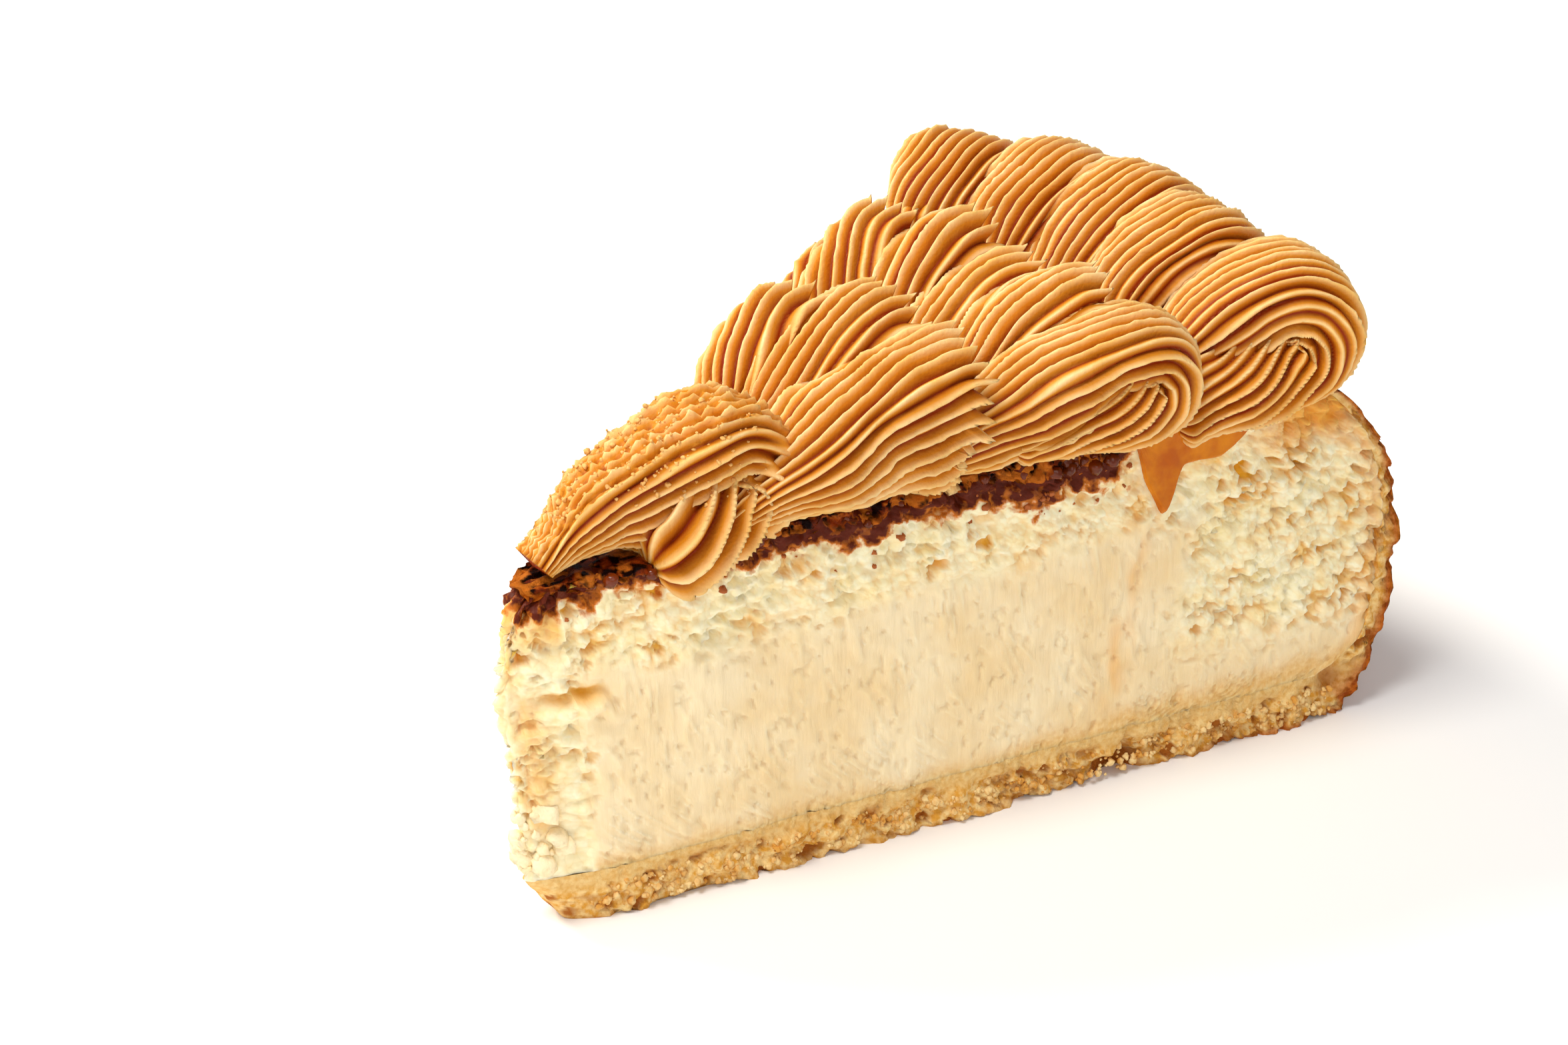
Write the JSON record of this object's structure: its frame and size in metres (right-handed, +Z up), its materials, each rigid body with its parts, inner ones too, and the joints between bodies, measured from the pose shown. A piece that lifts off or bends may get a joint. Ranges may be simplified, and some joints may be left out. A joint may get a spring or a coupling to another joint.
{
  "type": "baked cheesecake slice",
  "caption": "Cut slice of tall baked cheesecake on a crumbly pastry base, its browned top covered with rows of ridged piped caramel cream.",
  "frame": {"origin": "on the underside of the pastry base, on the slice's middle line, 64 mm from the centre of the cake it was cut from", "axes": "+X runs from the blunt tip to the rim, +Z up from the underside, and -Y is the side of the smoother cut face"},
  "size_m": [0.1152, 0.0685, 0.0644],
  "materials": {
    "pastry": "dry, crumbly shortcrust, golden with browned rim",
    "filling": "moist pale baked curd with a glossy dark caramelised top",
    "cream": "satin caramel buttercream"
  },
  "bodies": {
    "root": {"crust": "pastry", "filling": "filling", "cream_outer_1": "cream", "cream_outer_2": "cream", "cream_outer_3": "cream", "cream_outer_4": "cream", "cream_outer_5": "cream", "cream_middle_1": "cream", "cream_middle_2": "cream", "cream_middle_3": "cream", "cream_middle_4": "cream", "cream_middle_5": "cream", "cream_middle_6": "cream", "cream_inner_1": "cream", "cream_inner_2": "cream", "cream_inner_3": "cream", "cream_inner_4": "cream", "cream_tip": "cream"}
  },
  "joints": []
}
